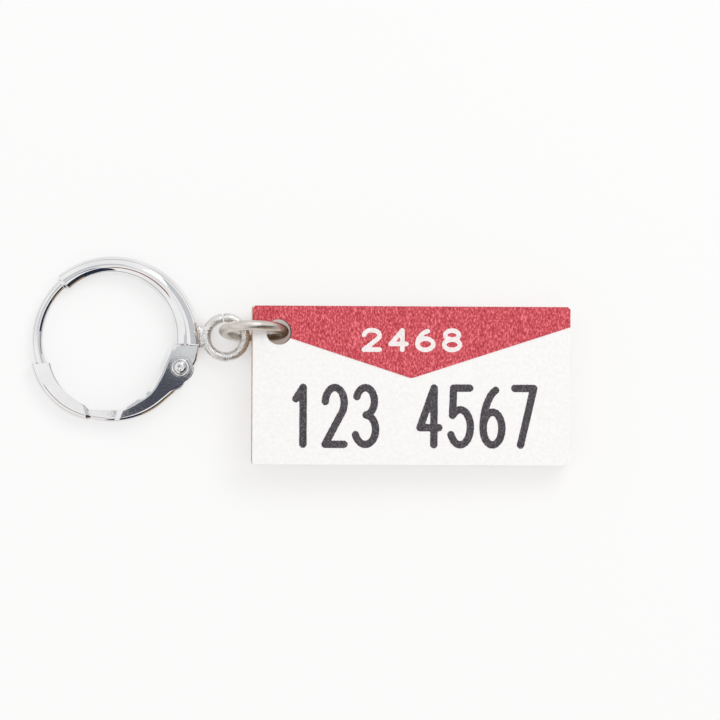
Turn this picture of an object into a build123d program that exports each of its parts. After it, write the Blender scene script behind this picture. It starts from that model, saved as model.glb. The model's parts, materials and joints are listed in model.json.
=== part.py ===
from build123d import *
import os
from math import asin, atan2, cos, degrees, radians, sin, sqrt, tan

# Stitch marker: a leverback hoop that closes round a needle or a stitch, a jump
# ring, and a printed wooden plate as the charm. Millimetres, +Z up, +X along the
# plate. It lies as it rests on a table: the hoop tips up a little where its loop
# rides in the ring, the ring stands on edge, and the plate leans on the ring.
# In the hoop's own plan its centre is the origin and angles run from +X.

# Fits and the overrun of every cut
overrun = 1.0
running_gap = 0.04
seat_gap = 0.02
side_gap = 0.05

# Closed hoop
hoop_r = 6.05

# Front arc, a cast band that tapers from the hinge to a waist
arc_from_deg = -3.0
arc_waist_deg = 90.0
arc_to_deg = 130.5
arc_width_hinge = 2.17
arc_width_waist = 1.43
arc_width_tip = 1.60
arc_depth_hinge = 2.00
arc_depth_tip = 1.50
arc_steps = 7
arc_taper_share = 1.5
arc_crown_share = 0.13
arc_shoulder_share = 0.30

# Ear wire, and the socket that holds it in the arc's thin end
wire_r = 0.44
wire_to_deg = 240.0
socket_depth = 1.5
collar_r = 0.58
collar_length = 0.26

# Hinge: its place below the arc's end and inside the centre line, the lug, the rivet
hinge_drop = 1.905
hinge_inset = 0.146
lug_r = 1.18
lug_depth = 1.00
lug_top_shares = ((-0.40, 1.62), (1.27, 1.62), (1.10, 0.50), (0.36, -0.93))
lug_back_shares = ((-0.66, -0.75), (-0.995, 0.10))
rivet_r = 0.42
rivet_head_r = 0.70
rivet_head_depth = 0.13
rivet_dome_r = 0.50
rivet_dome_height = 0.17
rivet_dimple_r = 0.17
rivet_dimple_depth = 0.07

# Lever, one stamped channel: a gutter for the wire, a low waist and two cheeks
sheet = 0.30
bend_r = 0.42
gutter_bend_r = 0.52
gutter_from_deg = 196.0
gutter_mid_deg = 225.0
gutter_to_deg = 253.0
gutter_bulge = 0.10
gutter_pinch = 0.12
gutter_height = 1.42
gutter_lip_deg = 3.5
gutter_end_slant_deg = 6.5
gutter_swell_share = 0.09
gutter_rise_share = 0.20
waist_depth = 1.36
waist_height = 0.92
web_offset = 0.48
waist_from_deg = 249.0
waist_to_deg = 280.0
cheek_from_deg = 274.5
cheek_mid_deg = 293.0
knee_from_deg = 312.0
knee_shares = (0.066, -1.458)
cheek_side_shares = ((0.32, -0.95), (0.86, 0.06), (-0.04, 1.20))
cheek_inner_polar_shares = ((351.0, 0.747), (336.5, 0.725), (319.5, 0.762),
                            (304.5, 0.832), (291.0, 0.862), (279.5, 0.930))
cheek_corner_r = 0.14
bevel_width = 0.50
bevel_deg = 11.0
bevel_taper_share = 0.75
bevel_steps = 6

# Charm loop, a round wire eye soldered to the outside of the arc
loop_y = 0.32
loop_mean_r = 1.565
loop_wire_r = 0.385
loop_slit_deg = 98.0
loop_slit = 0.12
pad_height = 1.90
pad_foot_height = 2.30
pad_depth = 0.66

# Jump ring, standing in the loop
ring_mean_r = 2.40
ring_wire_r = 0.40
ring_lean_deg = 12.0
ring_slit_deg = 305.0
ring_slit = 0.08
ring_loop_gap = 0.08
ring_aside = 0.20

# Plate charm: a laser-cut blank, its white face and its red field
plate_length = 25.4
plate_width = 12.7
blank_depth = 2.9
face_depth = 0.10
red_depth = 0.05
plate_corner = 0.20
hole_r = 1.02
hole_inset = 2.10
hole_gap = 0.19
plate_loop_gap = 0.19
plate_lift = 0.09
red_side = 1.60
red_point = 5.75
red_point_r = 0.80


def polar(radius, deg):
    """A point of the hoop's plan."""
    return Vector(radius * cos(radians(deg)), radius * sin(radians(deg)))


# Sizes that follow from the ones above

socket_r = wire_r + seat_gap
wire_from_deg = arc_to_deg - degrees(socket_depth / hoop_r)
hinge = polar(hoop_r - hinge_inset, arc_from_deg - degrees(hinge_drop / hoop_r))
cheek_gap = lug_depth + 2 * side_gap
cheek_depth = cheek_gap + 2 * sheet
gutter_gap = 2 * (wire_r + side_gap)
gutter_depth = gutter_gap + 2 * sheet
gutter_r = hoop_r + wire_r + running_gap + sheet
waist_gap = waist_depth - 2 * sheet
web_r = hoop_r + web_offset
loop_x = hoop_r + arc_width_hinge / 2 + loop_wire_r + loop_mean_r


def at_hinge(share_x, share_y):
    """A point given from the hinge, in shares of the lug's radius."""
    return hinge + Vector(lug_r * share_x, lug_r * share_y)


def slab(face, depth):
    """A plate of this depth, half of it each side of the hoop's plane."""
    return extrude(face, amount=depth / 2, both=True)


def ring_part(radius, from_deg, to_deg):
    """A round rod bent along the hoop's centre line."""
    start = polar(hoop_r, from_deg)
    plane = Plane(origin=start, x_dir=start, z_dir=start.rotate(Axis.Z, 90))
    return revolve(plane * Circle(radius), Axis.Z, to_deg - from_deg)


def arc_size(deg):
    """Width and depth of the arc's section at an angle."""
    depth_share = (deg - arc_from_deg) / (arc_to_deg - arc_from_deg)
    depth = arc_depth_hinge + (arc_depth_tip - arc_depth_hinge) * depth_share
    if deg < arc_waist_deg:
        away = (arc_waist_deg - deg) / (arc_waist_deg - arc_from_deg)
        width = arc_width_waist + (arc_width_hinge - arc_width_waist) * away ** arc_taper_share
    else:
        away = (deg - arc_waist_deg) / (arc_to_deg - arc_waist_deg)
        width = arc_width_waist + (arc_width_tip - arc_width_waist) * away ** 2
    return width, depth


def arc_section(deg):
    """A crowned face with rounded shoulders, square to the hoop's centre line."""
    width, depth = arc_size(deg)
    half_w = width / 2
    half_d = depth / 2
    crown = depth * arc_crown_share
    corners = [(half_w - crown, half_d - crown), (crown - half_w, half_d - crown),
               (crown - half_w, crown - half_d), (half_w - crown, crown - half_d)]
    tops = [(0, half_d), (-half_w, 0), (0, -half_d), (half_w, 0)]
    sides = [ThreePointArc(corners[i], tops[i], corners[(i + 1) % 4]) for i in range(4)]
    face = make_face(sides)
    face = fillet(face.vertices(), min(width, depth) * arc_shoulder_share)
    centre = polar(hoop_r, deg)
    plane = Plane(origin=centre, x_dir=centre, z_dir=centre.rotate(Axis.Z, 90))
    return plane * face


def lug_face():
    """The hinge lug: a rounded foot with a flat cam side that faces outwards."""
    top = [at_hinge(*shares) for shares in lug_top_shares]
    back = [at_hinge(*shares) for shares in lug_back_shares]
    outline = Polyline(back[1], *top) + ThreePointArc(top[3], back[0], back[1])
    return make_face(outline)


def front_arc():
    """The tapered arc with its wire socket and its drilled hinge lug."""
    step = (arc_to_deg - arc_from_deg) / arc_steps
    degs = [arc_from_deg + i * step for i in range(arc_steps)] + [arc_to_deg]
    band = loft([arc_section(deg) for deg in degs])
    lug = slab(lug_face(), lug_depth)
    drill = Pos(hinge) * Cylinder(rivet_r + seat_gap, lug_depth + overrun)
    socket = ring_part(socket_r, wire_from_deg, arc_to_deg + degrees(overrun / hoop_r))
    return band - socket + (lug - drill)


def ear_wire():
    """The thin wire: soldered in its socket, with a collar and a round tip."""
    rod = ring_part(wire_r, wire_from_deg, wire_to_deg)
    tip = Location(polar(hoop_r, wire_to_deg)) * Sphere(wire_r)
    collar = ring_part(collar_r, arc_to_deg, arc_to_deg + degrees(collar_length / hoop_r))
    return rod + tip + collar


def hinge_rivet():
    """A shank with a low domed head at each end, dimpled by its punch."""
    head_z = cheek_depth / 2
    under_z = head_z - rivet_head_depth
    profile = Polyline((0, 0), (rivet_r, 0), (rivet_r, under_z), (rivet_head_r, under_z),
                       (rivet_head_r, head_z), (rivet_dome_r, head_z))
    rim_z = head_z + rivet_dome_height
    bulge = Vector((rivet_dome_r + rivet_dimple_r) / 2, head_z + rivet_dome_height * 0.8)
    dome = ThreePointArc((rivet_dome_r, head_z), bulge, (rivet_dimple_r, rim_z))
    dimple = Polyline((rivet_dimple_r, rim_z), (0, rim_z - rivet_dimple_depth), (0, 0))
    half = revolve(Plane.XZ * make_face(profile + dome + dimple), Axis.Z)
    return Pos(hinge) * (half + mirror(half, Plane.XY))


def bent_slab(face, depth, web, radius):
    """A slab with the edges that lie along its web rolled over, as sheet bends."""
    body = slab(face, depth)
    rims = []
    for edge in body.edges():
        middle = edge.position_at(0.5)
        if abs(abs(middle.Z) - depth / 2) > seat_gap:
            continue
        if web.distance_to(Vector(middle.X, middle.Y)) < seat_gap:
            rims.append(edge)
    return fillet(rims, radius)


def channel_core(radius, gap, corner):
    """What a bent channel leaves open: a drum whose rims are rounded as the sheet's inside is."""
    drum = Cylinder(radius, gap)
    return fillet(drum.edges().filter_by(GeomType.CIRCLE), corner)


def gutter():
    """The open channel that takes the wire's tip, a little bowed outwards."""
    inner_r = gutter_r - gutter_height
    outer = ThreePointArc(polar(gutter_r, gutter_from_deg),
                          polar(gutter_r + gutter_bulge, gutter_mid_deg),
                          polar(gutter_r - gutter_pinch, gutter_to_deg))
    lip_deg = gutter_from_deg + gutter_lip_deg
    end_deg = gutter_to_deg - gutter_end_slant_deg
    rise = gutter_height * gutter_rise_share
    swell = gutter_height * gutter_swell_share
    inner = ThreePointArc(polar(inner_r, lip_deg),
                          polar(inner_r + swell + gutter_bulge, gutter_mid_deg),
                          polar(inner_r + rise, end_deg))
    ends = Line(inner @ 0, outer @ 0) + Line(outer @ 1, inner @ 1)
    body = bent_slab(make_face(outer + inner + ends), gutter_depth, outer, gutter_bend_r)
    core = channel_core(outer.radius - sheet, gutter_gap, gutter_bend_r - sheet)
    return body - Location(outer.arc_center) * core


def waist():
    """The low stretch between gutter and cheeks, narrower than both."""
    edge_y = waist_height - web_r
    left = polar(web_r, waist_from_deg)
    right = polar(web_r, waist_to_deg)
    outer = ThreePointArc(left, polar(web_r, (waist_from_deg + waist_to_deg) / 2), right)
    rest = Polyline(right, Vector(right.X, edge_y), Vector(left.X, edge_y), left)
    body = bent_slab(make_face(outer + rest), waist_depth, outer, bend_r)
    return body - channel_core(web_r - sheet, waist_gap, bend_r - sheet)


def bevel_cutter(edge):
    """What the press takes off along a cheek's free edge: a shallow wedge, narrower towards the tip."""
    sections = []
    for i in range(bevel_steps + 1):
        share = i / bevel_steps
        width = bevel_width * (1 - bevel_taper_share * share ** 2)
        drop = (width + overrun) * tan(radians(bevel_deg))
        wedge = Polyline((width, 0), (-overrun, -drop), (-overrun, overrun), close=True)
        along = edge % share
        spot = edge @ share + Vector(0, 0, cheek_depth / 2)
        if i == 0:
            spot -= along * overrun
        plane = Plane(origin=spot, x_dir=along.rotate(Axis.Z, 90), z_dir=along)
        sections.append(plane * make_face(wedge))
    return loft(sections)


def cheeks():
    """Both cheeks and their web, from the slanted tip to the round hinge end."""
    knee = at_hinge(*knee_shares)
    knee_start = polar(web_r, knee_from_deg)
    side = [at_hinge(*shares) for shares in cheek_side_shares]
    inner = [polar(hoop_r * share, deg) for deg, share in cheek_inner_polar_shares]
    outer = ThreePointArc(polar(web_r, cheek_from_deg), polar(web_r, cheek_mid_deg), knee_start)
    hinge_end = ThreePointArc(side[0], side[1], side[2])
    edge = Spline(*inner)
    outline = outer + Polyline(knee_start, knee, side[0]) + hinge_end
    outline += Line(side[2], inner[0]) + edge + Line(inner[-1], outer @ 0)
    face = make_face(outline)
    corner = face.vertices().sort_by_distance(inner[0])[0]
    face = fillet(corner, cheek_corner_r)
    body = bent_slab(face, cheek_depth, outer + Line(knee_start, knee), bend_r)
    along = (knee - knee_start).normalized()
    outwards = along.rotate(Axis.Z, -90)
    far = outwards * overrun
    reach = hinge + Vector(2 * lug_r, 2 * lug_r)
    web_inside = Line(polar(web_r - sheet, knee_from_deg), knee - outwards * sheet)
    rest = Polyline(web_inside @ 1, knee + far, Vector(reach.X, knee.Y), reach,
                    Vector(knee_start.X, reach.Y), web_inside @ 0)
    straight = bent_slab(make_face(web_inside + rest), cheek_gap, web_inside, bend_r - sheet)
    cutter = bevel_cutter(edge)
    body = body - straight - channel_core(web_r - sheet, cheek_gap, bend_r - sheet)
    return body - cutter - mirror(cutter, Plane.XY)


def lever():
    """The stamped lever, drilled and countersunk for the rivet."""
    drill = Cylinder(rivet_r + running_gap, cheek_depth + overrun)
    sink_depth = rivet_head_depth + running_gap
    sink = Cylinder(rivet_head_r + running_gap, sink_depth, align=(Align.CENTER, Align.CENTER, Align.MIN))
    sink = Pos(0, 0, cheek_depth / 2 - sink_depth) * sink
    holes = Pos(hinge) * (drill + sink + mirror(sink, Plane.XY))
    return gutter() + waist() + cheeks() - holes


def charm_loop(arc):
    """The eye with its slit, and the pad that seats it on the arc."""
    eye = Pos(loop_x, loop_y) * Torus(loop_mean_r, loop_wire_r)
    slit = Pos(loop_mean_r, 0) * Box(2 * loop_wire_r + overrun, loop_slit, 2 * loop_wire_r + overrun)
    eye -= Pos(loop_x, loop_y) * Rot(0, 0, loop_slit_deg) * slit
    pad_end = loop_x - loop_mean_r
    foot = hoop_r
    pad = Polyline((foot, loop_y - pad_foot_height / 2), (pad_end, loop_y - pad_height / 2),
                   (pad_end, loop_y + pad_height / 2), (foot, loop_y + pad_foot_height / 2), close=True)
    bore = Pos(loop_x, loop_y) * Cylinder(loop_mean_r, pad_depth + overrun)
    return eye + (slab(make_face(pad), pad_depth) - arc - bore)


def jump_ring():
    """A round wire ring, butted at its slit, in its own plane."""
    slit = Pos(ring_mean_r, 0) * Box(2 * ring_wire_r + overrun, ring_slit, 2 * ring_wire_r + overrun)
    return Torus(ring_mean_r, ring_wire_r) - Rot(0, 0, ring_slit_deg) * slit


def plate_face():
    """The plate's outline with its hole, centred."""
    hole = Pos(hole_inset - plate_length / 2, plate_width / 2 - hole_inset) * Circle(hole_r)
    sheet_face = Rectangle(plate_length, plate_width)
    return chamfer(sheet_face.vertices(), plate_corner) - hole


def red_face():
    """The red field: the whole top edge, down to a rounded point in the middle."""
    top = plate_width / 2
    side = plate_length / 2
    field = Polyline((-side, top), (-side, top - red_side), (0, top - red_point),
                     (side, top - red_side), (side, top), close=True)
    face = make_face(field)
    point = face.vertices().sort_by(Axis.Y)[0]
    return plate_face() & fillet(point, red_point_r)


# Where the three moving pieces lie, from the floor up

lean = radians(ring_lean_deg)
ring_z = ring_mean_r * cos(lean) + ring_wire_r
lip_ahead = ring_mean_r + ring_wire_r + hole_gap - 2 * hole_r
ring_ahead = hole_inset - hole_r - lip_ahead + loop_wire_r + plate_loop_gap
pivot_r = ring_mean_r - ring_wire_r - loop_wire_r - ring_loop_gap
band_z = ring_z - cos(lean) * sqrt(pivot_r ** 2 - ring_ahead ** 2)
band_x = loop_x + loop_mean_r
floor_reach = band_x + gutter_r * cos(radians(gutter_from_deg - 180))
floor_arm = sqrt(floor_reach ** 2 + (gutter_depth / 2) ** 2)
hoop_tip = asin(band_z / floor_arm) - atan2(gutter_depth / 2, floor_reach)
hoop_z = band_z - band_x * sin(hoop_tip)

ring_x = band_x * cos(hoop_tip) + ring_ahead
ring_y = loop_y + ring_aside + (ring_z - band_z) * tan(lean)

lip_z = ring_z - cos(lean) * sqrt((ring_mean_r - ring_wire_r) ** 2 - lip_ahead ** 2) + plate_lift
lip_reach = plate_length - hole_inset + hole_r
plate_tip = asin(lip_z / lip_reach)
half_depth = (blank_depth + face_depth) / 2
hole_z = (plate_length - hole_inset) * sin(plate_tip) + half_depth * cos(plate_tip)
hole_x = ring_x + lip_ahead + hole_r
hole_y = ring_y - (ring_z - hole_z) * tan(lean)
plate_y = hole_y + hole_inset - plate_width / 2
plate_x = hole_x + (plate_length - hole_inset) * cos(plate_tip) - half_depth * sin(plate_tip)

hoop_place = Pos(0, 0, hoop_z) * Rot(0, -degrees(hoop_tip), 0)
ring_axis = Vector(0, -cos(lean), sin(lean))
ring_place = Plane(origin=(ring_x, ring_y, ring_z), x_dir=(1, 0, 0), z_dir=ring_axis).location
plate_place = Pos(plate_x, plate_y, 0) * Rot(0, degrees(plate_tip), 0) * Pos(-plate_length / 2, 0, 0)


def build():
    """Every piece by name, laid out as it rests."""
    arc = front_arc()
    face_z = Pos(0, 0, blank_depth)
    red_z = Pos(0, 0, blank_depth + face_depth)
    return {
        "front_arc": hoop_place * arc,
        "ear_wire": hoop_place * ear_wire(),
        "hinge_rivet": hoop_place * hinge_rivet(),
        "charm_loop": hoop_place * charm_loop(arc),
        "lever": hoop_place * lever(),
        "jump_ring": ring_place * jump_ring(),
        "charm_blank": plate_place * extrude(plate_face(), amount=blank_depth),
        "white_face": plate_place * face_z * extrude(plate_face(), amount=face_depth),
        "red_field": plate_place * red_z * extrude(red_face(), amount=red_depth),
    }


def main():
    """Centre the marker on the floor and write one file for each piece."""
    os.makedirs("parts", exist_ok=True)
    pieces = build()
    box = pieces["charm_blank"].bounding_box()
    for piece in pieces.values():
        box = box.add(piece.bounding_box())
    shift = Vector(-box.center().X, -box.center().Y, -box.min.Z)
    for name, piece in pieces.items():
        export_step(Location(shift) * piece, "parts/" + name + ".step")
    places = {
        "hoop centre": Vector(0, 0, hoop_z),
        "hinge": (hoop_place * Pos(hinge)).position,
        "ring pivot": Vector(band_x * cos(hoop_tip), loop_y + ring_aside, band_z),
        "ring centre": Vector(ring_x, ring_y, ring_z),
        "plate right foot": Vector(plate_x, plate_y, 0),
    }
    print("size", box.size)
    print("hoop tips", degrees(hoop_tip), "plate tips", degrees(plate_tip))
    for name, place in places.items():
        print(name, place + shift)


main()
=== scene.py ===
import json
from math import asin, atan2, cos, degrees, hypot, pi, radians, sin, sqrt, tan

import bpy
import numpy as np
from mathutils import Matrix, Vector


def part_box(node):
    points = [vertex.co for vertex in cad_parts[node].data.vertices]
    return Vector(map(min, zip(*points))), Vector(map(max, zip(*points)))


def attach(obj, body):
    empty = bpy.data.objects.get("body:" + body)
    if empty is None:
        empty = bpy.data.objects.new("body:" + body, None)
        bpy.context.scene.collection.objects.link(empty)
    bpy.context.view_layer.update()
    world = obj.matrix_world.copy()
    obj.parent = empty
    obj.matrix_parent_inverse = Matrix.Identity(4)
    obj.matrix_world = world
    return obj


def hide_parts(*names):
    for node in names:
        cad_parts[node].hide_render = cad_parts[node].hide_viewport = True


# Stitch marker dressed for its picture. The metal pieces, the plate and its print are surfaces
# worked out here in millimetres, each in its own piece's plan, and set into the frame by the
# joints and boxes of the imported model.

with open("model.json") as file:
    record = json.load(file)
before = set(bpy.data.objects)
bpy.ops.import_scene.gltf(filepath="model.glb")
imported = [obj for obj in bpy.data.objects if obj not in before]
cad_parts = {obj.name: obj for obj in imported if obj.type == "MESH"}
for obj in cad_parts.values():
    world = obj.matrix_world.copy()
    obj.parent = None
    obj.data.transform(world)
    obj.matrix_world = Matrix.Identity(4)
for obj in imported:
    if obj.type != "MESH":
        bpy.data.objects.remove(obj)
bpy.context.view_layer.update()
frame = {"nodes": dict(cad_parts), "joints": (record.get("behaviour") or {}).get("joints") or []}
joints = {joint["name"]: joint for joint in frame["joints"]}
mm = 0.001

# Sizes of the hoop. They are the solids', save for what only shows in the picture: the lug's softer
# edges, the groove round the rivet's domes, and the slightly wider gap round its heads.
hoop_r = 6.05
arc_from_deg, arc_waist_deg, arc_to_deg = -3.0, 90.0, 130.5
arc_width_hinge, arc_width_waist, arc_width_tip = 2.17, 1.43, 1.60
arc_depth_hinge, arc_depth_tip = 2.00, 1.50
arc_taper_share, arc_crown_share, arc_shoulder_share = 1.5, 0.13, 0.30
arc_end_ease = 0.10
wire_r, wire_to_deg, socket_depth = 0.44, 240.0, 1.5
collar_r, collar_length = 0.58, 0.26
collar_foot, collar_overlap_deg, collar_fullness = 0.01, 0.2, 0.6
hinge_drop, hinge_inset = 1.905, 0.146
lug_r, lug_depth = 1.18, 1.00
lug_top_shares = ((-0.40, 1.62), (1.27, 1.62), (1.10, 0.50), (0.36, -0.93))
lug_back_shares = ((-0.66, -0.75), (-0.995, 0.10))
lug_ease = 0.20
rivet_head_r, rivet_head_depth, rivet_shank_r = 0.70, 0.13, 0.42
rivet_dome_r, rivet_dome_height = 0.50, 0.17
rivet_dimple_r, rivet_dimple_depth = 0.17, 0.07
rivet_ring_gap, rivet_groove_width, rivet_groove_depth = 0.08, 0.07, 0.06
rivet_ease, rivet_ease_middle, rivet_last_r = 0.03, 0.3, 0.01
loop_y, loop_mean_r, loop_wire_r = 0.32, 1.565, 0.385
loop_slit_deg, loop_slit, loop_end_ease = 98.0, 0.12, 0.06
pad_height, pad_foot_height, pad_depth = 1.90, 2.30, 0.66
pad_bury, pad_waist, pad_fullness = 0.50, 0.18, 0.5

# Sizes of the lever. Its bends vary along the cheek, where the solid keeps one radius.
sheet, side_gap, running_gap = 0.30, 0.05, 0.04
bend_r, gutter_bend_r, knee_bend_r, last_bend_r, inside_bend_r = 0.38, 0.52, 0.64, 0.05, 0.02
bend_closes_from = 0.88
gutter_from_deg, gutter_mid_deg, gutter_to_deg = 196.0, 225.0, 253.0
gutter_bulge, gutter_pinch, gutter_height = 0.10, 0.12, 1.42
gutter_lip_deg, gutter_end_slant_deg = 3.5, 6.5
gutter_swell_share, gutter_rise_share = 0.09, 0.20
waist_depth, waist_height, web_offset = 1.36, 0.92, 0.48
waist_edge_before, waist_edge_past = 0.25, 0.22
cheek_from_deg, knee_from_deg, knee_shares = 274.5, 312.0, (0.066, -1.458)
cheek_side_shares = ((0.32, -0.95), (0.86, 0.06), (-0.04, 1.20))
cheek_inner_polar_shares = ((351.0, 0.747), (336.5, 0.725), (319.5, 0.762),
                            (304.5, 0.832), (291.0, 0.862), (279.5, 0.930))
web_ends_over, web_just_ended = 0.125, 0.01
bevel_width, bevel_deg, bevel_taper_share = 0.50, 11.0, 0.75
ramp_deg = 2.2
lever_ease, lever_ease_from_deg = 0.05, 60.0
hole_snap, hole_slack = 0.045, 0.002

# Sizes of the ring and the plate
ring_mean_r, ring_wire_r, ring_slit_deg, ring_slit, ring_end_ease = 2.40, 0.40, 305.0, 0.08, 0.05
plate_length, plate_width, plate_corner = 25.4, 12.7, 0.20
blank_depth, face_depth, red_depth = 2.9, 0.10, 0.05
hole_r, hole_inset = 1.02, 2.10
edge_ease = 0.03
plate_sharp_deg = 30.0

# The print: figures in rows, in the plate's own plan
ink_depth, ink_cell, ink_snap_share = 0.02, 0.05, 0.6
ink_spread, spread_across, spread_up, spread_twist = 0.012, 23, 27, 31
large_height, large_width, large_stroke, large_pitch = 5.12, 2.10, 0.59, 2.525
large_middle_x, large_middle_y = 0.19, -2.43
small_height, small_width, small_stroke, small_pitch = 1.92, 1.62, 0.37, 2.14
small_middle_x, small_middle_y = 0.02, 3.65

# How finely the surfaces are divided
arc_steps, face_steps, shoulder_steps, lug_steps = 150, 14, 9, 24
rod_sides, ring_sides, turn_steps, quarter_steps = 40, 48, 72, 5
wire_steps, tip_steps, tip_stop_deg, collar_steps, dome_steps = 170, 12, 88, 15, 10
pad_sides, pad_steps, rod_steps, ring_steps = 48, 12, 120, 200
gutter_steps, fade_steps, waist_steps, path_steps, curve_steps = 70, 10, 24, 60, 40
cheek_steps, hinge_end_steps = 68, 72
flange_steps, bevel_steps, bend_steps, web_steps = 30, 4, 10, 3
corner_steps, side_step, stroke_steps = 10, 0.5, 22
probe, tiny = 1e-4, 1e-9


def polar(radius, deg):
    """Points of the hoop's plan: the radius times the cosine and the sine of the angle, in mm."""
    spin = np.radians(deg)
    return np.stack([radius * np.cos(spin), radius * np.sin(spin)], axis=-1)


# Sizes that follow
cheek_half = (lug_depth + 2 * side_gap) / 2 + sheet
gutter_half = wire_r + side_gap + sheet
waist_half = waist_depth / 2
gutter_r = hoop_r + wire_r + running_gap + sheet
web_r = hoop_r + web_offset
hinge = polar(hoop_r - hinge_inset, arc_from_deg - degrees(hinge_drop / hoop_r))
loop_x = hoop_r + arc_width_hinge / 2 + loop_wire_r + loop_mean_r


# Places of the three plans in the frame

def hoop_to_row(points):
    """The hoop's plan tips about Y: its Z is the lever hinge's axis, and its hinge is where that joint
    is."""
    up = np.array(joints["lever_hinge"]["axis"])
    side = np.array([0.0, 1.0, 0.0])
    along = np.cross(side, up)
    local = points - np.array([*hinge, 0.0])
    return np.array(joints["lever_hinge"]["pos_m"]) / mm + local @ np.array([along, side, up])


def ring_to_row(points):
    """The ring's plan: its Z is the charm joint's axis, its X is the frame's."""
    out = np.array(joints["charm_swing"]["axis"])
    along = np.array([1.0, 0.0, 0.0])
    axes = np.array([along, np.cross(out, along), out])
    return np.array(joints["charm_swing"]["pos_m"]) / mm + points @ axes


def plate_to_row(points):
    """The plate's plan: X from its middle, Z up from its back. It tips about the foot of its right end,
    by the angle that gives the blank's box its height."""
    low, high = (np.array(corner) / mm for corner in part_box("charm_blank"))
    tip = asin((high[2] - low[2]) / hypot(plate_length, blank_depth)) - atan2(blank_depth, plate_length)
    foot = np.array([high[0] - blank_depth * sin(tip), (low[1] + high[1]) / 2, low[2]])
    axes = np.array([[cos(tip), 0, -sin(tip)], [0, 1, 0], [sin(tip), 0, cos(tip)]])
    return foot + (points - np.array([plate_length / 2, 0, 0])) @ axes


# Mesh helpers. A surface is its points and a list of arrays of faces, each with one number of corners.

def signed_volume(points, groups):
    """Six times the volume inside the faces, negative where they face inwards: the sum, over the
    triangles that fan from each face's first corner, of that corner times the cross product of the
    other two."""
    total = 0.0
    for faces in groups:
        corners = points[faces]
        total += (corners[:, :1] * np.cross(corners[:, 1:-1], corners[:, 2:])).sum()
    return total


def outward(points, groups):
    """The faces of a closed surface, turned over if they face inwards."""
    if signed_volume(points - points.mean(0), groups) < 0:
        return [faces[:, ::-1] for faces in groups]
    return groups


def piece(name, points, groups, place, body, slot, material, nodes=(), sharp_deg=40.0):
    """Makes a closed surface with outward normals, sets it into the frame on its body and hides the model's
    parts that it replaces. The slot is not used.
    """
    faces = []
    for some in outward(points, groups):
        faces += some.tolist()
    mesh = bpy.data.meshes.new(name)
    mesh.from_pydata((place(points) * mm).tolist(), [], faces)
    mesh.polygons.foreach_set("use_smooth", [True] * len(mesh.polygons))
    mesh.set_sharp_from_angle(angle=radians(sharp_deg))
    mesh.materials.append(material)
    thing = bpy.data.objects.new(name, mesh)
    bpy.context.scene.collection.objects.link(thing)
    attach(thing, body)
    if nodes:
        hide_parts(*nodes)
    return thing


def grid_faces(rows, columns, close_rows=False):
    """Quads of a grid of closed rows, numbered row by row: each joins a point, the next in its row, and
    the two below them."""
    down = np.arange(rows if close_rows else rows - 1)[:, None]
    across = np.arange(columns)[None]
    below, right = (down + 1) % rows, (across + 1) % columns
    corners = [down * columns + across, down * columns + right, below * columns + right,
               below * columns + across]
    return np.stack(corners, axis=2).reshape(-1, 4)


def capped(sections):
    """A tube through closed sections, one row each, with a fan over each end from the end's mean."""
    rows, columns, _ = sections.shape
    points = np.vstack([sections.reshape(-1, 3), sections[0].mean(0), sections[-1].mean(0)])
    ring = np.arange(columns)
    ahead = (ring + 1) % columns
    last, middle = (rows - 1) * columns, rows * columns
    first_fan = np.c_[np.full(columns, middle), ahead, ring]
    last_fan = np.c_[np.full(columns, middle + 1), last + ring, last + ahead]
    return points, [grid_faces(rows, columns), first_fan, last_fan]


def joined(*parts):
    """Several closed surfaces as one, each facing outwards, its points numbered after the last one's."""
    points, groups, count = [], [], 0
    for some, those in parts:
        points.append(some)
        groups += [faces + count for faces in outward(some, those)]
        count += len(some)
    return np.vstack(points), groups


def swept(out, high, degs):
    """Points at a distance from the plan's middle and at a height, one row of them at each angle."""
    plan = polar(out, np.asarray(degs)[:, None])
    return np.dstack([plan, high])


def bent_rod(mean_r, degs, radii, sides=rod_sides):
    """A round rod along a circle of the plan. Round each section, the distance from the middle is the
    circle's radius plus the rod's times the cosine, and the height is the rod's times the sine."""
    turn = np.linspace(0, 2 * pi, sides, endpoint=False)
    radii = np.asarray(radii)[:, None]
    return capped(swept(mean_r + radii * np.cos(turn), radii * np.sin(turn), degs))


def eased_ends(from_deg, to_deg, radius, ease, mean_r, steps=rod_steps):
    """Angles and radii of a rod whose cut ends are eased by a quarter round."""
    quarter = np.radians(np.linspace(0, 90, quarter_steps))
    ease_deg = degrees(ease / mean_r)
    start = from_deg + ease_deg * (1 - np.cos(quarter))
    end = to_deg - ease_deg * (1 - np.cos(quarter))[::-1]
    body = np.linspace(from_deg + ease_deg, to_deg - ease_deg, steps)[1:-1]
    lift = radius - ease + ease * np.sin(quarter)
    return np.r_[start, body, end], np.r_[lift, np.full(len(body), radius), lift[::-1]]


def revolved(profile, centre):
    """A profile of (radius, height) pairs turned about the plan's Z at a centre."""
    radius, high = np.array(profile).T[:, :, None]
    turn = np.linspace(0, 2 * pi, turn_steps, endpoint=False)
    x, y = centre[0] + radius * np.cos(turn), centre[1] + radius * np.sin(turn)
    return capped(np.dstack([x, y, np.broadcast_to(high, x.shape)]))


def circle_through(a, b, c, steps):
    """Points along the arc from a through b to c. From a to its centre, twice each side's product with
    that run is the side's own square."""
    a, b, c = (np.array(spot, float) for spot in (a, b, c))
    sides = np.array([b - a, c - a])
    centre = a + np.linalg.solve(2 * sides, (sides ** 2).sum(1))
    start, middle, end = (atan2(*(spot - centre)[::-1]) for spot in (a, b, c))
    turn = (end - start) % (2 * pi)
    if (middle - start) % (2 * pi) > turn:
        turn -= 2 * pi
    angles = start + np.linspace(0, 1, steps) * turn
    return centre + np.linalg.norm(a - centre) * np.c_[np.cos(angles), np.sin(angles)]


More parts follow.
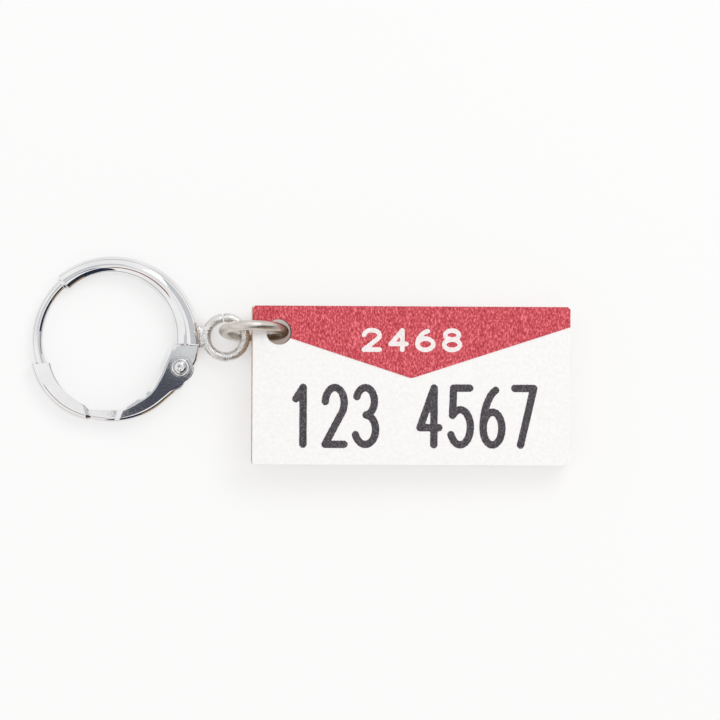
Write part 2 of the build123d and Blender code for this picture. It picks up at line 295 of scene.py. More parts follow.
def smooth_through(points, steps):
    """Points, evenly spaced, along a Catmull-Rom curve through the given ones: between two of them the
    cubic whose slope at each is half the run between its neighbours."""
    points = np.array(points)
    ends = np.vstack([2 * points[0] - points[1], points, 2 * points[-1] - points[-2]])
    t = np.linspace(0, 1, curve_steps, endpoint=False)[:, None]
    runs = []
    for i in range(1, len(ends) - 2):
        p, q, r, s = ends[i - 1:i + 3]
        runs.append(0.5 * (2 * q + (r - p) * t + (2 * p - 5 * q + 4 * r - s) * t ** 2
                           + (3 * q - p - 3 * r + s) * t ** 3))
    return evenly(np.vstack(runs + [points[-1:]]), steps)


def evenly(path, steps):
    """A polyline resampled at equal lengths."""
    path = np.array(path)
    along = np.r_[0, np.cumsum(np.linalg.norm(np.diff(path, axis=0), axis=1))]
    want = np.linspace(0, along[-1], steps)
    return np.c_[np.interp(want, along, path[:, 0]), np.interp(want, along, path[:, 1])]


def ease_in_out(t):
    """Zero to one with level ends: three squares less two cubes."""
    t = np.clip(t, 0, 1)
    return t * t * (3 - 2 * t)


# Materials

def linear(code):
    """A screen colour, as six hex digits, in linear light by the sRGB curve."""
    parts = [int(code[i:i + 2], 16) / 255 for i in (0, 2, 4)]
    return [p / 12.92 if p <= 0.04045 else ((p + 0.055) / 1.055) ** 2.4 for p in parts] + [1.0]


def add(tree, kind, links=None, **values):
    """Adds a node; lower-case names are its settings and capitalised ones its inputs."""
    node = tree.nodes.new("ShaderNode" + kind)
    for key, value in values.items():
        if key[0].isupper():
            node.inputs[key.replace("_", " ")].default_value = value
        else:
            setattr(node, key, value)
    for key, socket in (links or {}).items():
        tree.links.new(socket, node.inputs[key])
    return node


def new_material(name):
    """An empty material with its shader and its object coordinates."""
    material = bpy.data.materials.new(name)
    material.use_nodes = True
    tree = material.node_tree
    tree.nodes.clear()
    shader = add(tree, "BsdfPrincipled")
    add(tree, "OutputMaterial", {"Surface": shader.outputs["BSDF"]})
    place = add(tree, "TexCoord").outputs["Object"]
    return material, tree, shader, place


def noise(tree, place, size_mm, detail=4.0, stretch=(1, 1, 1), roughness=0.5):
    """Noise whose features are about this many mm across, drawn out along an axis by stretch."""
    scale = [1 / (mm * size_mm * s) for s in stretch]
    sized = add(tree, "Mapping", {"Vector": place}, Scale=scale)
    return add(tree, "TexNoise", {"Vector": sized.outputs["Vector"]}, Scale=1.0, Detail=detail,
               Roughness=roughness).outputs["Fac"]


def ranged(tree, value, low, high, to_low, to_high):
    """A value stretched from one range to another."""
    return add(tree, "MapRange", {"Value": value}, From_Min=low, From_Max=high, To_Min=to_low,
               To_Max=to_high).outputs["Result"]


def ramp(tree, value, stops):
    """A colour ramp of (position, hex colour) pairs."""
    node = add(tree, "ValToRGB", {"Fac": value})
    elements = node.color_ramp.elements
    while len(elements) < len(stops):
        elements.new(0.5)
    for element, (position, code) in zip(elements, stops):
        element.position = position
        element.color = linear(code)
    return node.outputs["Color"]


def bump(tree, height, distance_mm, under=None):
    """Relief of that height, on top of any relief given."""
    links = {"Height": height}
    if under is not None:
        links["Normal"] = under
    return add(tree, "Bump", links, Strength=1.0, Distance=distance_mm * mm).outputs["Normal"]


def plated(name, stops, rough, wave_mm, wave_depth, grain_mm, grain_depth):
    """Plated metal: colour by slow noise, roughness by quick noise, soft waves and fine grain as relief.
    Sizes and depths are in mm."""
    noise_low, noise_high = 0.3, 0.7
    material, tree, shader, place = new_material(name)
    shader.inputs["Metallic"].default_value = 1.0
    slow = noise(tree, place, wave_mm)
    quick = noise(tree, place, grain_mm, detail=6.0)
    tree.links.new(ramp(tree, slow, stops), shader.inputs["Base Color"])
    tree.links.new(ranged(tree, quick, noise_low, noise_high, *rough), shader.inputs["Roughness"])
    waves = bump(tree, slow, wave_depth)
    tree.links.new(bump(tree, quick, grain_depth, under=waves), shader.inputs["Normal"])
    return material


def cut_wood():
    """Laser-cut wood: one noise, drawn out down the cut, gives both the scorched streaks and their relief."""
    streak_mm, streak_depth, down_the_cut, dull = 0.35, 0.03, (1, 1, 6), 0.75
    material, tree, shader, place = new_material("laser_cut_wood")
    streaks = noise(tree, place, streak_mm, detail=6.0, stretch=down_the_cut)
    shade = ramp(tree, streaks, ((0.25, "A98A72"), (0.5, "D2B299"), (0.75, "EAD4C2")))
    tree.links.new(shade, shader.inputs["Base Color"])
    shader.inputs["Roughness"].default_value = dull
    tree.links.new(bump(tree, streaks, streak_depth), shader.inputs["Normal"])
    return material


def ink(name, stops, dot_mm, stretch=(1, 1, 1)):
    """Printed ink: fine dots of lighter and darker tone, over a faint relief of its ground."""
    dull, sheen = 0.6, 0.35
    ground_mm, ground_depth, along_the_plate = 0.5, 0.006, (6, 1, 1)
    material, tree, shader, place = new_material(name)
    dots = noise(tree, place, dot_mm, detail=2.0, stretch=stretch, roughness=0.6)
    tree.links.new(ramp(tree, dots, stops), shader.inputs["Base Color"])
    shader.inputs["Roughness"].default_value = dull
    shader.inputs["Specular IOR Level"].default_value = sheen
    ground = noise(tree, place, ground_mm, detail=5.0, stretch=along_the_plate)
    tree.links.new(bump(tree, ground, ground_depth), shader.inputs["Normal"])
    return material


# Rhodium over polished brass: a near mirror. The eye gets hard dark and light streaks of the room,
# with edges that waver a little, and no grain.
bright_plate = plated("rhodium_plate", ((0.3, "E4E4E5"), (0.7, "F0F0F0")), (0.02, 0.05),
                      wave_mm=2.4, wave_depth=0.0006, grain_mm=0.12, grain_depth=0.0002)

# The loop and its pad, plated as they were cast: pitted, so that the eye gets small grey and white
# specks and never a picture of the room.
cast_plate = plated("as_cast_plate", ((0.3, "CFCDCA"), (0.7, "F2F1EF")), (0.18, 0.36),
                    wave_mm=0.45, wave_depth=0.06, grain_mm=0.14, grain_depth=0.035)

# Wire, drawn and nickel plated but not polished: a warm dull silver, with broad soft lights along it.
nickel_wire = plated("drawn_nickel_wire", ((0.3, "CBC4BB"), (0.7, "E5E0D9")), (0.26, 0.38),
                     wave_mm=0.8, wave_depth=0.02, grain_mm=0.10, grain_depth=0.004)

# Wood cut by a laser and left bare: tan, with darker scorched streaks down the cut and no shine.
wood = cut_wood()

# A matt white coat: almost even, a touch warmer than the floor.
white_ink = ink("white_print", ((0.3, "F3F2F1"), (0.7, "FBFAF9")), 0.25)

# Red ink, laid down in fine dots: pink and dark red specks that read as one soft red from afar.
red_stops = ((0.30, "9A2531"), (0.44, "C13E4A"), (0.54, "D4515D"), (0.68, "F6858D"))
red_ink = ink("red_print", red_stops, 0.15, stretch=(0.8, 1.6, 1))

# Black ink that has sunk in a little: charcoal with paler specks, and no shine.
black_ink = ink("black_print", ((0.30, "302C31"), (0.5, "454046"), (0.70, "6E696D")), 0.15)

# The white figures, over red: white with a faint pink where the red shows through.
white_figures = ink("white_figures_print", ((0.3, "E9DDDC"), (0.7, "FBF8F7")), 0.15)


# The hoop

def arc_size(deg):
    """Width and depth of the arc's section at an angle. The depth falls evenly to the tip. The width
    falls as a power of the way left to the waist, and grows as the square of the way past it."""
    along = (deg - arc_from_deg) / (arc_to_deg - arc_from_deg)
    depth = arc_depth_hinge + (arc_depth_tip - arc_depth_hinge) * along
    if deg < arc_waist_deg:
        away = (arc_waist_deg - deg) / (arc_waist_deg - arc_from_deg)
        return arc_width_waist + (arc_width_hinge - arc_width_waist) * away ** arc_taper_share, depth
    away = (deg - arc_waist_deg) / (arc_to_deg - arc_waist_deg)
    return arc_width_waist + (arc_width_tip - arc_width_waist) * away ** 2, depth


def crowned_section(width, depth):
    """Four flat arcs, each bulging by the crown, joined by four rounds that touch them. The rounds'
    centre is where the two arcs' inner parallels cross."""
    half_w, half_d = width / 2, depth / 2
    crown = depth * arc_crown_share
    shoulder = min(width, depth) * arc_shoulder_share
    top_r = ((half_w - crown) ** 2 + crown ** 2) / (2 * crown)
    side_r = ((half_d - crown) ** 2 + crown ** 2) / (2 * crown)
    top_centre = np.array([0.0, half_d - top_r])
    side_centre = np.array([half_w - side_r, 0.0])
    gap = side_centre - top_centre
    far = np.linalg.norm(gap)
    a, b = top_r - shoulder, side_r - shoulder
    along = (a * a - b * b + far * far) / (2 * far)
    across = sqrt(a * a - along * along)
    unit = gap / far
    spots = [top_centre + unit * along + side * across * np.array([-unit[1], unit[0]]) for side in (1, -1)]
    corner = max(spots, key=lambda spot: spot.sum())
    top_angle = atan2(*(corner - top_centre)[::-1])
    side_angle = atan2(*(corner - side_centre)[::-1])
    side_run = np.linspace(0, side_angle, face_steps, endpoint=False)
    round_run = np.linspace(side_angle, top_angle, shoulder_steps, endpoint=False)
    top_run = np.linspace(top_angle, pi / 2, face_steps, endpoint=False)
    quarter = np.vstack([
        side_centre + side_r * np.c_[np.cos(side_run), np.sin(side_run)],
        corner + shoulder * np.c_[np.cos(round_run), np.sin(round_run)],
        top_centre + top_r * np.c_[np.cos(top_run), np.sin(top_run)],
        [[0.0, half_d]]])
    left = quarter[::-1][1:] * [-1, 1]
    half = np.vstack([quarter, left])
    return np.vstack([half, half[::-1][1:-1] * [1, -1]])


def arc_band():
    """The tapered band: its section square to the hoop's line at each angle. Near an end the section
    shrinks as a quarter round of the ease does."""
    degs = np.linspace(arc_from_deg, arc_to_deg, arc_steps)
    sections = np.array([crowned_section(*arc_size(deg)) for deg in degs])
    from_end = np.minimum(degs - arc_from_deg, arc_to_deg - degs) * radians(1) * hoop_r
    short = np.clip(arc_end_ease - from_end, 0, arc_end_ease)
    shrink = arc_end_ease - np.sqrt(arc_end_ease ** 2 - short ** 2)
    sections *= 1 - shrink[:, None, None] / np.abs(sections).max(1, keepdims=True)
    return capped(swept(hoop_r + sections[:, :, 0], sections[:, :, 1], degs))


def prism(outline, half):
    """A plate of an outline, half of its depth each side of the plan."""
    count = len(outline)
    ring = np.arange(count)
    ahead = (ring + 1) % count
    points = np.vstack([np.c_[outline, np.full(count, half)], np.c_[outline, np.full(count, -half)]])
    walls = np.c_[ring, ring + count, ahead + count, ahead]
    return points, [ring[None], (ring + count)[None, ::-1], walls]


def ease_edges(thing, width_mm, from_deg=50.0, segments=2):
    """Rounds a piece's edges that turn by more than an angle."""
    bevel = thing.modifiers.new("eased_edges", "BEVEL")
    bevel.width = width_mm * mm
    bevel.segments = segments
    bevel.limit_method = "ANGLE"
    bevel.angle_limit = radians(from_deg)
    bevel.harden_normals = False


def make_arc():
    """The cast arc, and its hinge lug as a plate whose foot is an arc through three of its corners."""
    top = hinge + lug_r * np.array(lug_top_shares)
    back = hinge + lug_r * np.array(lug_back_shares)
    foot = circle_through(top[3], back[0], back[1], lug_steps)
    outline = np.vstack([back[1:], top, foot[1:-1]])
    piece("cast_arc", *arc_band(), hoop_to_row, "hoop", "bright_plate", bright_plate, ["front_arc"])
    lug = piece("hinge_lug", *prism(outline, lug_depth / 2), hoop_to_row, "hoop", "bright_plate",
                bright_plate)
    ease_edges(lug, lug_ease, segments=4)


def make_wire():
    """The thin wire, with a tip whose radius falls as a quarter round, and the collar at the socket, whose
    swell is a sine to a power."""
    start = arc_to_deg - degrees(socket_depth / hoop_r)
    quarter = np.radians(np.linspace(0, tip_stop_deg, tip_steps))
    tip = wire_to_deg + np.degrees(wire_r / hoop_r * np.sin(quarter))
    degs = np.r_[np.linspace(start, wire_to_deg, wire_steps), tip[1:]]
    wire = bent_rod(hoop_r, degs, np.r_[np.full(wire_steps, wire_r), wire_r * np.cos(quarter[1:])])
    long_deg = degrees(collar_length / hoop_r) + collar_overlap_deg
    swell = np.linspace(0, pi, collar_steps)
    low_r = wire_r + collar_foot
    collar = bent_rod(hoop_r, arc_to_deg - collar_overlap_deg + long_deg * (1 - np.cos(swell)) / 2,
                      low_r + (collar_r - low_r) * np.abs(np.sin(swell)) ** collar_fullness)
    piece("ear_wire_rod", *joined(wire, collar), hoop_to_row, "hoop", "bright_plate", bright_plate,
          ["ear_wire"])


def make_rivet():
    """The rivet: at each end a flush head with an eased rim and a groove, a dome and a punched dimple,
    both quarter ellipses. The lower half mirrors the upper."""
    high = cheek_half + rivet_dome_height
    turn = np.radians(np.linspace(0, 90, dome_steps))
    dome_run = rivet_dome_r - rivet_dimple_r
    dome = np.c_[rivet_dimple_r + dome_run * np.cos(turn), cheek_half + rivet_dome_height * np.sin(turn)]
    dimple = np.c_[rivet_dimple_r * np.cos(turn), high - rivet_dimple_depth * np.sin(turn)]
    middle = rivet_ease * rivet_ease_middle
    rim = [(rivet_shank_r, 0.0), (rivet_shank_r, cheek_half - rivet_head_depth),
           (rivet_head_r, cheek_half - rivet_head_depth), (rivet_head_r, cheek_half - rivet_ease),
           (rivet_head_r - middle, cheek_half - middle), (rivet_head_r - rivet_ease, cheek_half),
           (rivet_dome_r + rivet_groove_width, cheek_half),
           (rivet_dome_r + rivet_groove_width / 2, cheek_half - rivet_groove_depth)]
    last = [(rivet_last_r, high - rivet_dimple_depth)]
    upper = np.vstack([rim, dome, dimple[1:-1], last])
    lower = upper[:0:-1] * [1, -1]
    piece("domed_rivet", *revolved(np.vstack([lower, upper]), hinge), hoop_to_row, "hoop", "bright_plate",
          bright_plate, ["hinge_rivet"])


def rounded_wave(wave):
    """A sine or cosine to a power below one, with its sign, which makes a circle nearer a square."""
    return np.sign(wave) * np.abs(wave) ** pad_fullness


def make_loop():
    """The wire eye with its slit, and the solder pad that seats it on the arc: a squared tube whose height
    falls evenly to the eye, less a half sine at its waist."""
    half_slit = degrees(loop_slit / 2 / loop_mean_r)
    degs, radii = eased_ends(loop_slit_deg + half_slit, loop_slit_deg + 360 - half_slit, loop_wire_r,
                             loop_end_ease, loop_mean_r)
    eye, faces = bent_rod(loop_mean_r, degs, radii)
    eye = eye + np.array([loop_x, loop_y, 0.0])
    turn = np.linspace(0, 2 * pi, pad_sides, endpoint=False)
    share = np.linspace(0, 1, pad_steps)[:, None]
    start = hoop_r + pad_bury
    x = start + (loop_x - loop_mean_r - start) * share
    half = (pad_foot_height + (pad_height - pad_foot_height) * share) / 2 - pad_waist * np.sin(pi * share)
    y = loop_y + half * rounded_wave(np.cos(turn))
    z = pad_depth / 2 * rounded_wave(np.sin(turn))
    pad = capped(np.dstack(np.broadcast_arrays(x, y, z)))
    piece("cast_eye", *joined((eye, faces), pad), hoop_to_row, "hoop", "cast_plate", cast_plate,
          ["charm_loop"])


def make_ring():
    """The jump ring, butted at its slit."""
    half_slit = degrees(ring_slit / 2 / ring_mean_r)
    degs, radii = eased_ends(ring_slit_deg + half_slit, ring_slit_deg + 360 - half_slit, ring_wire_r,
                             ring_end_ease, ring_mean_r, ring_steps)
    piece("wire_ring", *bent_rod(ring_mean_r, degs, radii, ring_sides), ring_to_row, "ring", "nickel_wire",
          nickel_wire, ["jump_ring"])


# The lever: one sheet. Stations run from the gutter's mouth to the hinge end, and at each one the
# sheet goes from the upper flange's free edge over the web to the lower flange's free edge.

def lever_paths():
    """For each station the web side's point, the free edge's point, the half depth, the bend's radius, how
    far the web has ended, and how wide the cheek's bevel is. The gutter's sides are arcs, the waist's
    web is concentric with the hoop, and eased ramps join them."""
    rim_r = gutter_r - gutter_height
    swell = gutter_height * gutter_swell_share
    end_deg = gutter_to_deg - gutter_end_slant_deg
    edge_y = waist_height - web_r
    waist_from_deg, waist_to_deg = gutter_to_deg + ramp_deg, cheek_from_deg - ramp_deg
    waist_start, cheek_start = polar(web_r, waist_from_deg), polar(web_r, waist_to_deg)
    inner = [polar(hoop_r * share, deg) for deg, share in cheek_inner_polar_shares][::-1]
    side = hinge + lug_r * np.array(cheek_side_shares)
    knee = hinge + lug_r * np.array(knee_shares)
    runs = [[] for _ in range(6)]

    def run(outer, free, *values):
        runs[0].append(outer)
        runs[1].append(free)
        for kept, value in zip(runs[2:], values):
            kept.append(np.broadcast_to(value, len(outer)))

    run(circle_through(polar(gutter_r, gutter_from_deg), polar(gutter_r + gutter_bulge, gutter_mid_deg),
                       polar(gutter_r - gutter_pinch, gutter_to_deg), gutter_steps),
        circle_through(polar(rim_r, gutter_from_deg + gutter_lip_deg),
                       polar(rim_r + swell + gutter_bulge, gutter_mid_deg),
                       polar(rim_r + gutter_height * gutter_rise_share, end_deg), gutter_steps),
        gutter_half, gutter_bend_r, 0.0, 0.0)
    fade = ease_in_out(np.linspace(0, 1, fade_steps)[1:, None])
    web_end, free_end = runs[0][-1][-1], runs[1][-1][-1]
    waist_free = np.array([waist_start[0] - waist_edge_before, edge_y])
    run(web_end + (waist_start - web_end) * fade, free_end + (waist_free - free_end) * fade,
        gutter_half + (waist_half - gutter_half) * fade[:, 0],
        gutter_bend_r + (bend_r - gutter_bend_r) * fade[:, 0], 0.0, 0.0)
    waist_stop = np.array([cheek_start[0] + waist_edge_past, edge_y])
    steps = np.linspace(0, 1, waist_steps)[1:]
    run(polar(web_r, waist_from_deg + (waist_to_deg - waist_from_deg) * steps),
        waist_free + (waist_stop - waist_free) * steps[:, None], waist_half, bend_r, 0.0, 0.0)
    tip = polar(web_r, cheek_from_deg)
    run(cheek_start + (tip - cheek_start) * fade, waist_stop + (inner[0] - waist_stop) * fade,
        waist_half + (cheek_half - waist_half) * fade[:, 0], bend_r, 0.0, 0.0)
    free = smooth_through(inner, cheek_steps + hinge_end_steps + 1)[1:]
    left = np.linspace(1, 0, len(free))
    bevel = bevel_width * (1 - bevel_taper_share * left ** 2)
    along = np.linspace(0, 1, cheek_steps)
    widening = bend_r + (knee_bend_r - bend_r) * along ** 2
    closing = 1 - ease_in_out((along - bend_closes_from) / (1 - bend_closes_from))
    bow = polar(web_r, np.linspace(cheek_from_deg, knee_from_deg, path_steps))
    web_stop = (knee + side[0]) / 2
    run(evenly(np.vstack([bow, knee, web_stop]), cheek_steps + 1)[1:], free[:cheek_steps], cheek_half,
        last_bend_r + (widening - last_bend_r) * closing, 0.0, bevel[:cheek_steps])
    hinge_end = np.vstack([web_stop, circle_through(*side, path_steps)])
    ended = ease_in_out(np.linspace(0, 1, hinge_end_steps) / web_ends_over)
    run(evenly(hinge_end, hinge_end_steps + 1)[1:], free[cheek_steps:], cheek_half, last_bend_r,
        np.maximum(ended, web_just_ended), bevel[cheek_steps:])
    return [np.concatenate(kept) for kept in runs]


def sheet_layer(web_side, free, halves, bends, ended, bevels, inset):
    """One face of the sheet, a row of points for each station: upper flange, bend, web, bend, lower
    flange. The flange is straight, its first strips on the bevel if there is one. The bend is a
    quarter round whose radius is less by the inset, and the web is straight up and down."""
    bend = np.maximum(bends - inset, inside_bend_r)[:, None]
    high = (halves - inset)[:, None]
    inward = (free - web_side) / np.linalg.norm(free - web_side, axis=1, keepdims=True)
    flange_run = web_side + inward * (inset + bend) * (1 - ended[:, None]) - free
    web_at = web_side + inward * inset
    on_bevel = np.minimum(bevels / np.linalg.norm(flange_run, axis=1), 0.5)
    first = np.where(bevels > 0, on_bevel, bevel_steps / (flange_steps - 1))
    shares = np.vstack([np.linspace(0, first, bevel_steps + 1)[:-1],
                        np.linspace(first, 1, flange_steps - bevel_steps)]).T
    flange = free[:, None] + flange_run[:, None] * shares[:, :, None]
    turn = np.radians(np.linspace(0, 90, bend_steps + 2)[1:])
    curve = (web_at + inward * bend)[:, None] - (inward * bend)[:, None] * np.sin(turn)[:, None]
    heights = np.hstack([np.broadcast_to(high, shares.shape), high - bend + bend * np.cos(turn)])
    upper = np.dstack([np.hstack([flange, curve]), heights])
    web_heights = np.linspace(high - bend, bend - high, web_steps + 2, axis=1)[:, 1:-1]
    web_plan = np.broadcast_to(web_at[:, None], (len(web_at), web_steps, 2))
    web = np.concatenate([web_plan, web_heights], axis=2)
    return np.hstack([upper, web, upper[:, ::-1] * [1, 1, -1]])


def sheet_mesh(upper, lower, keep):
    """A sheet of two layers of points over the cells that are kept, with a rim wherever a kept cell has
    no neighbour. Points that no face uses are left out."""
    rows, columns, _ = upper.shape
    below = rows * columns
    spot = np.arange(below).reshape(rows, columns)
    a, b, c, d = spot[:-1, :-1], spot[:-1, 1:], spot[1:, 1:], spot[1:, :-1]
    cells = np.stack([a, b, c, d], axis=2)[keep]
    around = np.pad(keep, 1)
    beside = (around[:-2, 1:-1], around[2:, 1:-1], around[1:-1, :-2], around[1:-1, 2:])
    faces = [cells, cells[:, ::-1] + below]
    for start, end, kept in zip((b, d, a, c), (a, c, d, b), beside):
        edge = np.stack([start, end], axis=2)[keep & ~kept]
        faces.append(np.hstack([edge, edge[:, ::-1] + below]))
    faces = np.vstack(faces)
    used = np.unique(faces)
    points = np.vstack([upper.reshape(-1, 3), lower.reshape(-1, 3)])
    return points[used], [np.searchsorted(used, faces)]


def kept_cells(spots):
    """Cells of a grid whose four corners are all true."""
    return spots[:-1, :-1] & spots[1:, :-1] & spots[:-1, 1:] & spots[1:, 1:]


def make_lever():
    """The lever's sheet. On the cheeks' bevel the outer face sinks by the tangent of its angle times the
    way left to its inner line. Points close to the rim of a hole for the rivet's head are moved on to
    it, and the cells inside the hole or past the web's end are left out."""
    paths = lever_paths()
    free, ended, bevels = paths[1], paths[4], paths[5]
    outer, inner = (sheet_layer(*paths, inset) for inset in (0.0, sheet))
    from_edge = np.linalg.norm(outer[:, :, :2] - free[:, None], axis=2)
    drop = np.maximum(bevels[:, None] - from_edge, 0) * tan(radians(bevel_deg))
    outer[:, :flange_steps, 2] -= drop[:, :flange_steps]
    outer[:, -flange_steps:, 2] += drop[:, -flange_steps:]
    hole = rivet_head_r + rivet_ring_gap
    for layer in (outer, inner):
        offset = layer[:, :, :2] - hinge
        away = np.linalg.norm(offset, axis=2)
        near = np.abs(away - hole) < hole_snap
        layer[near, :2] = (hinge + offset / np.maximum(away, tiny)[:, :, None] * hole)[near]
    keep = kept_cells(np.linalg.norm(outer[:, :, :2] - hinge, axis=2) > hole - hole_slack)
    keep[ended[1:] > 0, flange_steps - 1:-flange_steps + 1] = False
    lever = piece("stamped_lever", *sheet_mesh(outer, inner, keep), hoop_to_row, "lever", "bright_plate",
                  bright_plate, ["lever"])
    ease_edges(lever, lever_ease, lever_ease_from_deg)


# The plate

def plate_outline():
    """The plate's outline: a quarter round at each corner, and points along the sides about a step
    apart."""
    spin = np.radians(np.linspace(0, 90, corner_steps) + 90 * np.arange(4)[:, None])
    quadrants = np.array([(1, 1), (-1, 1), (-1, -1), (1, -1)])
    middles = quadrants * [plate_length / 2 - plate_corner, plate_width / 2 - plate_corner]
    rounds = middles[:, None] + plate_corner * np.dstack([np.cos(spin), np.sin(spin)])
    closed = np.vstack([*rounds, rounds[0, :1]])
    runs = []
    for a, b in zip(closed[:-1], closed[1:]):
        count = max(1, int(np.linalg.norm(b - a) / side_step))
        runs.append(np.linspace(a, b, count, endpoint=False))
    return np.vstack(runs)


def plate_layer(low, high):
    """A layer of the plate with its hole, its edges eased by a small slope. Each row goes round: hole wall,
    upper face, outer wall, back. A point of the hole lies towards each point of the outline."""
    middle = np.array([hole_inset - plate_length / 2, plate_width / 2 - hole_inset])
    outline = plate_outline()
    inner = outline * (1 - 2 * edge_ease / np.array([plate_length, plate_width]))
    around = outline - middle
    unit = around / np.linalg.norm(around, axis=1, keepdims=True)
    hole, wide = middle + unit * hole_r, middle + unit * (hole_r + edge_ease)
    loop = [(hole, low + edge_ease), (hole, high - edge_ease), (wide, high), (inner, high),
            (outline, high - edge_ease), (outline, low + edge_ease), (inner, low), (wide, low)]
    rows = [np.c_[spots, np.full(len(spots), z)] for spots, z in loop]
    return np.vstack(rows), [grid_faces(len(loop), len(outline), close_rows=True)]


def make_plate():
    """The wooden blank and its white coat."""
    piece("wooden_blank", *plate_layer(0.0, blank_depth), plate_to_row, "charm", "cut_wood", wood,
          ["charm_blank"], plate_sharp_deg)
    piece("white_coat", *plate_layer(blank_depth, blank_depth + face_depth), plate_to_row, "charm",
          "white_ink", white_ink, ["white_face"], plate_sharp_deg)


def stroke_arc(x, y, wide, high, from_deg, to_deg):
    """Points along part of an ellipse about (x, y)."""
    a = np.radians(np.linspace(from_deg, to_deg, stroke_steps))
    return np.c_[x + wide * np.cos(a), y + high * np.sin(a)]


def figure_strokes(figure):
    """Centre lines of a plain figure, in shares of its width and height."""
    return {
        "1": [[(0.5, 0), (0.5, 1), (0.12, 0.80)]],
        "2": [np.vstack([stroke_arc(0.5, 0.73, 0.5, 0.27, 175, -32), [(0, 0), (1, 0)]])],
        "3": [np.vstack([stroke_arc(0.45, 0.76, 0.48, 0.24, 160, -85),
                         stroke_arc(0.45, 0.26, 0.55, 0.26, 85, -160)])],
        "4": [[(0.74, 0), (0.74, 1), (0, 0.30), (1, 0.30)]],
        "5": [np.vstack([[(0.95, 1), (0.1, 1), (0.05, 0.52)],
                         stroke_arc(0.46, 0.31, 0.54, 0.31, 128, -155)])],
        "6": [stroke_arc(0.5, 0.29, 0.5, 0.29, 0, 360), stroke_arc(0.95, 0.29, 0.95, 0.71, 180, 108)],
        "7": [[(0, 1), (1, 1), (0.32, 0)]],
        "8": [stroke_arc(0.5, 0.77, 0.43, 0.23, 0, 360), stroke_arc(0.5, 0.27, 0.5, 0.27, 0, 360)],
    }[figure]


def distance_to_strokes(spots, strokes):
    """Distance of each spot from the nearest stroke's centre line: for each straight run of it, the
    distance to the spot's foot on that run."""
    best = np.full(len(spots), np.inf)
    for stroke in strokes:
        for a, b in zip(stroke[:-1], stroke[1:]):
            run = b - a
            share = np.clip((spots - a) @ run / max(run @ run, tiny), 0, 1)
            best = np.minimum(best, np.linalg.norm(spots - a - share[:, None] * run, axis=1))
    return best


def figure_film(figure, width, height, stroke, middle, floor_z):
    """A film of ink over the cells within half a stroke of the centre lines. Points near the film's edge
    are moved on to it, down the slope of that distance. The edge wavers by a small product of waves,
    as ink spreads in grain."""
    box = np.array([width - stroke, height - stroke])
    strokes = [(np.array(line, float) - 0.5) * box for line in figure_strokes(figure)]
    xs = np.arange(-width / 2 - 2 * ink_cell, width / 2 + 3 * ink_cell, ink_cell)
    ys = np.arange(-height / 2 - 2 * ink_cell, height / 2 + 3 * ink_cell, ink_cell)
    grid = np.stack(np.meshgrid(xs, ys), axis=2)
    flat = grid.reshape(-1, 2)

    def far(shift):
        return distance_to_strokes(flat + shift, strokes)

    twist = np.sin(flat[:, 1] * spread_twist) * 2
    uneven = ink_spread * np.sin(flat[:, 0] * spread_across + twist) * np.cos(flat[:, 1] * spread_up)
    depth = far(0.0) - stroke / 2 + uneven
    across, up = np.array([probe, 0]), np.array([0, probe])
    slope = np.c_[far(across) - far(-across), far(up) - far(-up)]
    slope /= np.maximum(np.linalg.norm(slope, axis=1, keepdims=True), tiny)
    near = np.abs(depth) < ink_snap_share * ink_cell
    moved = np.where(near[:, None], flat - depth[:, None] * slope, flat)
    keep = kept_cells(((depth < 0) | near).reshape(grid.shape[:2]))
    plan = (moved + middle).reshape(grid.shape)
    upper, lower = (np.dstack([plan, np.full(grid.shape[:2], z)]) for z in (floor_z + ink_depth, floor_z))
    return sheet_mesh(upper, lower, keep)


def figure_row(text, width, height, stroke, pitch, middle_x, middle_y, floor_z):
    """A row of figures, evenly spaced about its middle."""
    films = []
    for place, figure in enumerate(text):
        if figure != " ":
            x = middle_x + (place - (len(text) - 1) / 2) * pitch
            films.append(figure_film(figure, width, height, stroke, np.array([x, middle_y]), floor_z))
    return joined(*films)


def make_print():
    """The black figures on white and the white figures on red."""
    white_top = blank_depth + face_depth
    large = figure_row("123 4567", large_width, large_height, large_stroke, large_pitch, large_middle_x,
                       large_middle_y, white_top)
    small = figure_row("2468", small_width, small_height, small_stroke, small_pitch, small_middle_x,
                       small_middle_y, white_top + red_depth)
    piece("black_figures", *large, plate_to_row, "charm", None, black_ink)
    piece("white_figures", *small, plate_to_row, "charm", "white_ink", white_figures)
    red = frame["nodes"]["red_field"]
    red.data.materials.clear()
    red.data.materials.append(red_ink)


# The studio. What the picture shows of the floor is grey card, which takes the shadows, plus an even glow
# with painted warm shade where wood stands close over it: there the glow turns darker and tan, standing in
# for shade and for light bounced off the wood. All other light finds plain white card there.

floor_size, floor_rough = 1.6, 0.9
floor_grey, floor_glow, floor_white = 0.285, 0.685, 0.94
# Painted warm shade in the floor's glow: how far the occlusion looks, its samples, and the ramp from dark tan
# under cover to white in the open.
painted_shade_reach, painted_shade_samples, painted_shade_stops = 3 * mm, 12, ((0.08, "A0877B"), (0.45, "FFFFFF"))
room_level, lamp_watts, lamp_size, lamp_place = 0.77, 0.60, (0.25, 0.20), (0.16, 0.20, 0.34)
field_mm, camera_mm, camera_x_mm, camera_y_mm, camera_roll_deg = 57.9, 500.0, 4.81, 0.09, 0.3
sensor_mm, clip_near, clip_far = 36.0, 0.01, 10.0
hoop_middle = hoop_to_row(np.zeros(3))[:2]

# Cards overhead: height and corners in mm, and colour. The dark one is what the lever's cheek shows,
# and the greys are the long bands along the arc.
overhead_cards = {
    "dark_overhead": (420, ((-61.5, 2.6), (-40, -5.3), (-40, -120), (-61.5, -120)), "4C4E5A"),
    "grey_overhead": (430, ((-230, 10.5), (-230, 170), (-56.5, 170), (-56.5, 10.5)), "D2D4D8"),
    "pale_overhead": (431, ((-60.5, -30), (-60.5, 8), (30, 8), (30, -30)), "DCDEE0"),
}

